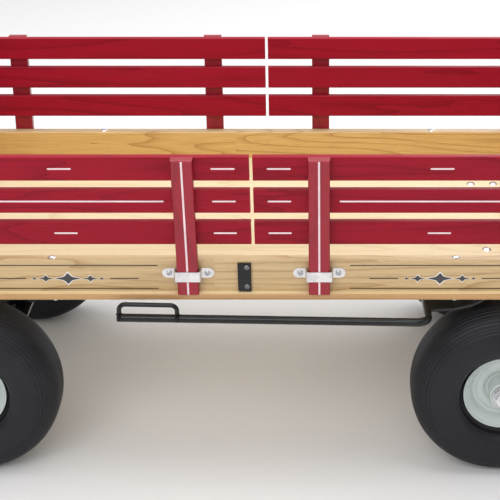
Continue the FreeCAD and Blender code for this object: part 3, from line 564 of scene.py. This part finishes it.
def rim_profile():
    """Outline of the rim: rolled lips, barrel, stepped dish and bearing hub; +Y is outboard."""
    lip_out = [(47.5, 19.5), (51.5, 24.0), (55.0, 27.2), (56.2, 30.0), (57.8, 30.6), (58.4, 29.4),
               (57.6, 26.8)]
    seat = [(52.8, 22.0), (50.8, 19.6), (50.8, 14.0), (46.5, 11.0), (46.5, -11.0), (50.8, -14.0),
            (51.0, -27.0)]
    lip_in = [(58.2, -27.4), (58.7, -29.6), (57.6, -31.0), (55.0, -30.4), (48.4, -26.0)]
    back = [(47.8, -13.0), (43.5, -10.0), (43.5, 4.0), (38.3, 4.5), (33.8, 12.0), (28.8, 12.0), (26.2, 6.5)]
    hub = [(21.0, 6.5), (21.0, -37.6), (17.6, -38.0), (17.6, -27.0), (12.0, -27.0), (12.0, 27.0),
           (17.6, 27.0), (17.6, 38.0), (21.0, 37.6)]
    front = [(21.0, 9.5), (24.0, 9.5), (28.5, 13.5), (36.0, 14.0), (40.0, 11.0), (43.5, 11.5)]
    outline = rounded(lip_out + seat + lip_in + back + hub + front, radius=2.6)
    return [(point.x * MM, point.y * MM) for point in outline]


def wheel_matrix(name):
    """From wheel space, +Y outboard, to the wheel's place."""
    low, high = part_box("tyre_" + name)
    turn = Matrix.Rotation(0.0 if name.endswith("right") else math.pi, 4, "Z")
    return Matrix.Translation((low + high) / 2) @ turn


def valve_stem():
    """A rubber valve stem with its cap, leaning out through the dish."""
    foot, tip = Vector((40.5, 5.0)), Vector((39.0, 27.0))
    axis = (tip - foot).normalized()
    across = Vector((axis.y, -axis.x))
    length = (tip - foot).length
    stem = [(0.0, 0.0), (5.4, 0.0), (4.4, 3.0), (3.8, 10.0), (3.8, length - 9)]
    cap = [(4.3, length - 8.6), (4.3, length - 1.2), (3.2, length), (0.0, length)]
    points, faces = lathe([(r * MM, y * MM) for r, y in stem + cap], segments=16, closed=False)
    frame_x = Vector((across.x, across.y, 0))
    frame_y = Vector((axis.x, axis.y, 0))
    turn = Matrix((frame_x, frame_y, frame_x.cross(frame_y))).transposed().to_4x4()
    return points, faces, Matrix.Translation((foot.x * MM, foot.y * MM, 0)) @ turn


STEM_TURN = {"front_left": -60, "front_right": 160, "rear_left": 200, "rear_right": 20}      # degrees
for wheel, stem_turn in STEM_TURN.items():
    place, body = wheel_matrix(wheel), "wheel_" + wheel
    tyre = Soup()
    tyre.add(*lathe(tyre_profile(), SEGMENTS), place)
    piece = mesh_piece("tyre_ribbed_" + wheel, tyre.points, tyre.faces, "tyre_rubber", body,
                       smooth_angle=50.0)
    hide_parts("tyre_" + wheel)
    rim = Soup()
    rim.add(*lathe(rim_profile(), SEGMENTS), place)
    piece = mesh_piece("rim_dished_" + wheel, rim.points, rim.faces, "rim_paint", body,
                       smooth_angle=40.0)
    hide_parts("rim_" + wheel)
    stem_points, stem_faces, stem_place = valve_stem()
    stem = Soup()
    stem.add(stem_points, stem_faces, place @ Matrix.Rotation(math.radians(stem_turn), 4, "Y") @ stem_place)
    mesh_piece("valve_stem_" + wheel, stem.points, stem.faces, "tube_rubber", body)


# ---------------------------------------------------------------- painted grooves on the racks

def side_matrix(angle, distance):
    """From a side's own space, facing -Y at the boards' outer face, to the wagon."""
    return Matrix.Translation((bed_x, bed_y, 0)) @ Matrix.Rotation(angle, 4, "Z") @ Matrix.Translation(
        (0, -distance, 0))


# each side's turn about Z, and its boards' distance from the bed's middle
SIDES = {"left": (0.0, bed_half_width), "right": (math.pi, bed_half_width),
         "front": (-math.pi / 2, bed_half_length), "rear": (math.pi / 2, bed_half_length)}


def span_along(node, side):
    """The lowest and highest place of a node along its own side of the bed."""
    inverse = side_matrix(*SIDES[side]).inverted()
    low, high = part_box(node)
    ends = sorted(((inverse @ low).x, (inverse @ high).x))
    return ends[0], ends[1]


def leaning(along, height, proud=0.0):
    """A matrix to a place on the racks' flared face: along the side, at a height, standing proud of it."""
    tilt = Matrix.Rotation(math.atan(FLARE), 4, "X")
    return Matrix.Translation((along, -(height - board_top_z) * FLARE - proud, height)) @ tilt


def stake_places(rack, side):
    """Where a rack's two stakes stand along their side of the bed."""
    low, high = span_along("rack_" + rack + "_stakes", side)
    return low + STAKE_WIDTH / 2, high - STAKE_WIDTH / 2


PAINT_CLEARANCE = 0.05 * MM
LINE_END_INSET = 1 * MM


def rack_stripes(rack, side):
    """The pale paint in one rack's grooves."""
    place = side_matrix(*SIDES[side])
    start, end = span_along("rack_" + rack + "_rails", side)
    stakes = stake_places(rack, side)
    top_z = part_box("rack_" + rack + "_rails")[1].z
    bottom_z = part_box("rack_" + rack + "_stakes")[0].z
    kink_z = board_top_z + STAKE_GAP / FLARE
    paint_face = GROOVE_DEPTH - PAINT_LIFT
    half_width = GROOVE_WIDTH / 2 - PAINT_CLEARANCE
    soup = Soup()
    for row in range(3):
        height = top_z - RAIL_HEIGHT / 2 - row * RAIL_PITCH
        marks = [(start + DASH_FROM_END, DASH_LENGTH / 2), (end - DASH_FROM_END, DASH_LENGTH / 2)]
        middle = (stakes[0] + stakes[1]) / 2
        reach = (stakes[1] - stakes[0]) / 2 - STAKE_WIDTH / 2 - LONG_LINE_CLEARANCE
        marks.append((middle, reach if row == 1 else DASH_LENGTH / 2))
        for centre, half in marks:
            soup.add(*plate(stadium(half, half_width), paint_face, GROOVE_DEPTH),
                     place @ leaning(centre, height))
    for stake_x in stakes:
        leaning_half = (top_z - kink_z) / 2 / math.cos(math.atan(FLARE)) - LINE_END_INSET
        soup.add(*plate(bar(-half_width, half_width, leaning_half), paint_face, GROOVE_DEPTH),
                 place @ leaning(stake_x, (top_z + kink_z) / 2 - LINE_END_INSET, STAKE_THICKNESS))
        upright_middle = (stake_x, -STAKE_GAP - STAKE_THICKNESS, (kink_z + bottom_z) / 2)
        soup.add(*plate(bar(-half_width, half_width, (kink_z - bottom_z) / 2), paint_face, GROOVE_DEPTH),
                 place @ Matrix.Translation(upright_middle))
    mesh_piece("stripes_" + rack, soup.points, soup.faces, "stripe_paint", "rack_" + rack)


# each rack and the side it stands on
RACKS = {"left_front": "left", "left_rear": "left", "right_front": "right", "right_rear": "right",
         "front": "front", "rear": "rear"}
for rack, side in RACKS.items():
    rack_stripes(rack, side)


# ---------------------------------------------------------------- screws with cross recesses

SCREW_LENGTH = 13.9 * MM
SHANK_RADIUS = 2.0 * MM
BRACKET_HEAD_RADIUS, BRACKET_HEAD_HEIGHT = 4.0 * MM, 1.7 * MM
CATCH_HEAD_RADIUS, CATCH_HEAD_HEIGHT = 3.8 * MM, 1.6 * MM
SCREW_TURN = 37                          # degrees from one screw's slots to the next one's
HEAD_OUTWARDS = Matrix.Rotation(math.radians(90), 4, "X")
screws = Soup()
bracket_low, bracket_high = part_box("stake_brackets")
bracket_z = (bracket_low.z + bracket_high.z) / 2
turned = 0
for rack, side in RACKS.items():
    for stake_x in stake_places(rack, side):
        for way in (-1, 1):
            turned += SCREW_TURN
            at = Matrix.Translation((stake_x + way * BRACKET_HOLE_OFFSET, -STRAP_THICKNESS, bracket_z))
            spin = Matrix.Rotation(math.radians(turned), 4, "Z")
            screws.add(*cross_screw(BRACKET_HEAD_RADIUS, BRACKET_HEAD_HEIGHT, SHANK_RADIUS, SCREW_LENGTH),
                       side_matrix(*SIDES[side]) @ at @ HEAD_OUTWARDS @ spin)
bracket_screws = mesh_piece("bracket_cross_screws", screws.points, screws.faces, "screw_steel", "chassis")
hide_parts("bracket_screws")

screws = Soup()
low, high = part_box("catch_plate_screws")
for screw_z in (low.z + CATCH_HEAD_RADIUS, high.z - CATCH_HEAD_RADIUS):
    at = Matrix.Translation(((low.x + high.x) / 2, left_low.y - CATCH_THICKNESS, screw_z))
    screws.add(*cross_screw(CATCH_HEAD_RADIUS, CATCH_HEAD_HEIGHT, SHANK_RADIUS, SCREW_LENGTH),
               at @ HEAD_OUTWARDS)
piece = mesh_piece("catch_cross_screws", screws.points, screws.faces, "dark_screw", "chassis")
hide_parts("catch_plate_screws")


# ---------------------------------------------------------------- weld beads

LEVER_FRONT_RISE = 13.8 * MM             # the lever's axis at its front end, above the node's lowest point
SEAM_RADIUS, SEAM_SINK, SEAM_OUTSIDE = 1.1 * MM, 0.6 * MM, 0.4 * MM
LUMP_RADIUS, LUMP_SINK = 3.2 * MM, 1.4 * MM
LUMP_ABOVE, LUMP_BELOW = 1.5 * MM, 9.5 * MM

welds = Soup()
low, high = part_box("brake_lever")
for loop_x in (low.x + LOOP_RADIUS, low.x + LOOP_RADIUS + LOOP_LENGTH):
    share = (loop_x - low.x) / (high.x - low.x)
    lever_top = low.z + LEVER_FRONT_RISE - share * (LEVER_FRONT_RISE - LEVER_RADIUS) + LEVER_RADIUS
    foot = (loop_x, low.y + LEVER_RADIUS, lever_top - SEAM_SINK)
    welds.add(*bead(level_circle(foot, LOOP_RADIUS + SEAM_OUTSIDE), SEAM_RADIUS))
    near_y = low.y + LUMP_SINK
    lump = straight((loop_x, near_y, lever_top + LUMP_ABOVE), (loop_x, near_y, lever_top - LUMP_BELOW))
    welds.add(*bead(lump, LUMP_RADIUS))
mesh_piece("lever_welds", welds.points, welds.faces, "black_steel", "brake")


# ---------------------------------------------------------------- pinstripes and ornament, side boards

LINE_HALF = 0.75 * MM
LINE_PROUD = 0.15 * MM
LINE_START = 133 * MM
MIDDLE_LINE_START = 160 * MM
LINE_INSET = 26 * MM
UPPER_LINE_Z, MIDDLE_LINE_Z, LOWER_LINE_Z = 338.8 * MM, 318.6 * MM, 303.1 * MM
ORNAMENT_X = 258 * MM
ORNAMENT_GAP = 58 * MM                   # from the ornament's middle to the lines beside it
# each diamond's place, half length and half height, in millimetres
MOTIFS = [(0, 21, 11), (-31, 12, 6.5), (31, 12, 6.5), (-46.5, 4.5, 3.2), (46.5, 4.5, 3.2)]
INK_LENGTH, INK_HEIGHT = 0.86, 0.78      # the ink's share of each diamond's pale edge


def diamond(centre, half_length, half_height, bow=0.35):
    """A slender diamond with slightly hollow sides."""
    corners = [(half_length, 0.0), (0.0, half_height), (-half_length, 0.0), (0.0, -half_height)]
    outline, steps = [], 6
    for index, corner in enumerate(corners):
        other = corners[(index + 1) % 4]
        for step in range(steps):
            t = step / steps
            pull = 1 - bow * math.sin(math.pi * t)
            outline.append((centre + (corner[0] * (1 - t) + other[0] * t) * pull,
                            (corner[1] * (1 - t) + other[1] * t) * pull))
    return outline


def board_lines(side):
    """Thin dark lines either side of a diamond ornament, twice along a side board."""
    place = side_matrix(*SIDES[side])
    lines, ink, edge = Soup(), Soup(), Soup()
    for way in (-1, 1):
        outer = way * (bed_half_length - LINE_INSET)
        for height in (UPPER_LINE_Z, LOWER_LINE_Z):
            lines.add(*plate(bar(*sorted((way * LINE_START, outer)), LINE_HALF), -LINE_PROUD, 0.0),
                      place @ Matrix.Translation((0, 0, height)))
        middle = way * ORNAMENT_X
        inner_end, outer_start = middle - way * ORNAMENT_GAP, middle + way * ORNAMENT_GAP
        for span in ((way * MIDDLE_LINE_START, inner_end), (outer_start, outer)):
            lines.add(*plate(bar(*sorted(span), LINE_HALF), -LINE_PROUD, 0.0),
                      place @ Matrix.Translation((0, 0, MIDDLE_LINE_Z)))
        at = place @ Matrix.Translation((0, 0, MIDDLE_LINE_Z))
        for step, half_length, half_height in MOTIFS:
            centre, half_length, half_height = middle + step * MM, half_length * MM, half_height * MM
            edge.add(*plate(diamond(centre, half_length, half_height), -LINE_PROUD, 0.0), at)
            inked = diamond(centre, half_length * INK_LENGTH, half_height * INK_HEIGHT)
            ink.add(*plate(inked, -2 * LINE_PROUD, 0.0), at)
    drawn = (("pinstripes_", lines, "pinstripe_ink"), ("ornament_ink_", ink, "ornament_ink"),
             ("ornament_edges_", edge, "ornament_edge"))
    for name, soup, finish in drawn:
        mesh_piece(name + side, soup.points, soup.faces, finish, "chassis")


for side in ("left", "right"):
    board_lines(side)


# ---------------------------------------------------------------- handle grip

grip_low, grip_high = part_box("handle_grip")
grip_centre = (grip_low + grip_high) / 2
grip_half = (grip_high.y - grip_low.y) / 2 / MM
GRIP_BORE, GRIP_END, GRIP_RIB, GRIP_SWELL = 6.1, 11.0, 12.2, 0.7      # radii, in millimetres
RIB_COUNT = 11
RIBBED_SHARE = 0.94                      # of the grip's length
# places across a rib, as shares of its half width, and how far the skin lies below its top there
RIB_SHAPE = ((-0.95, 1.1), (-0.6, 0.15), (0.0, 0.0), (0.6, 0.15), (0.95, 1.1))
grip_outline = [(GRIP_BORE, -grip_half), (GRIP_END, -grip_half)]
ribbed_half = RIBBED_SHARE * grip_half
for rib in range(RIB_COUNT):
    middle = (rib + 0.5) / RIB_COUNT * 2 - 1
    swell = GRIP_RIB + GRIP_SWELL * math.cos(middle * math.pi / 2)
    for share, drop in RIB_SHAPE:
        grip_outline.append((swell - drop, middle * ribbed_half + share * ribbed_half / RIB_COUNT))
grip_outline += [(GRIP_END, grip_half), (GRIP_BORE, grip_half)]
grip = Soup()
grip.add(*lathe([(r * MM, y * MM) for r, y in grip_outline], segments=48), Matrix.Translation(grip_centre))
piece = mesh_piece("grip_ribbed", grip.points, grip.faces, "grip_rubber", "pull_handle",
                   smooth_angle=60.0)
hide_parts("handle_grip")


# ---------------------------------------------------------------- camera, floor and light

CAMERA_FROM_BED = Vector((0.1002, -1.936, 1.1764))
CAMERA_PITCH_DOWN = 25.85
camera_data = bpy.data.cameras.new("camera")
camera_data.sensor_width = 36.0
camera_data.lens = 97.85
camera_data.shift_x = -0.1525
camera = bpy.data.objects.new("camera", camera_data)
camera.location = Vector((bed_x, bed_y, 0)) + CAMERA_FROM_BED
camera.rotation_euler = (math.radians(90 - CAMERA_PITCH_DOWN), 0, 0)
bpy.context.scene.collection.objects.link(camera)
bpy.context.scene.camera = camera

FLOOR_HALF = 30.0
floor_mesh = bpy.data.meshes.new("floor")
floor_corners = [(-FLOOR_HALF, -FLOOR_HALF, 0), (FLOOR_HALF, -FLOOR_HALF, 0), (FLOOR_HALF, FLOOR_HALF, 0),
                 (-FLOOR_HALF, FLOOR_HALF, 0)]
floor_mesh.from_pydata(floor_corners, [], [(0, 1, 2, 3)])
floor = bpy.data.objects.new("floor", floor_mesh)
bpy.context.scene.collection.objects.link(floor)
floor_graph = Graph("studio_floor")
floor_graph.set(Base_Color=(0.83, 0.825, 0.835, 1.0), Roughness=0.85, Specular_IOR_Level=0.2)
floor.data.materials.append(floor_graph.material)


def softbox(name, location, target, size, power):
    """A rectangular area light, aimed at a target, of a power in watts."""
    light_data = bpy.data.lights.new(name, "AREA")
    light_data.shape = "RECTANGLE"
    light_data.size, light_data.size_y = size
    light_data.energy = power
    light = bpy.data.objects.new(name, light_data)
    light.location = location
    light.rotation_euler = (Vector(target) - Vector(location)).to_track_quat("-Z", "Y").to_euler()
    bpy.context.scene.collection.objects.link(light)


middle_z = 0.35
softbox("overhead", (0.2, 0.3, 2.9), (0.1, 0.0, middle_z), (3.2, 2.4), 66.0)
softbox("front_fill", (-0.6, -2.7, 2.5), (0.1, 0.1, middle_z), (2.6, 1.8), 46.0)
softbox("rear_fill", (1.6, 3.0, 1.6), (0.1, 0.0, middle_z), (2.4, 1.6), 22.0)
world = bpy.data.worlds.new("studio")
world.use_nodes = True
background = world.node_tree.nodes["Background"]
background.inputs["Color"].default_value = (1.0, 1.0, 1.0, 1.0)
background.inputs["Strength"].default_value = 0.62
bpy.context.scene.world = world
bpy.context.scene.view_settings.view_transform = "Standard"
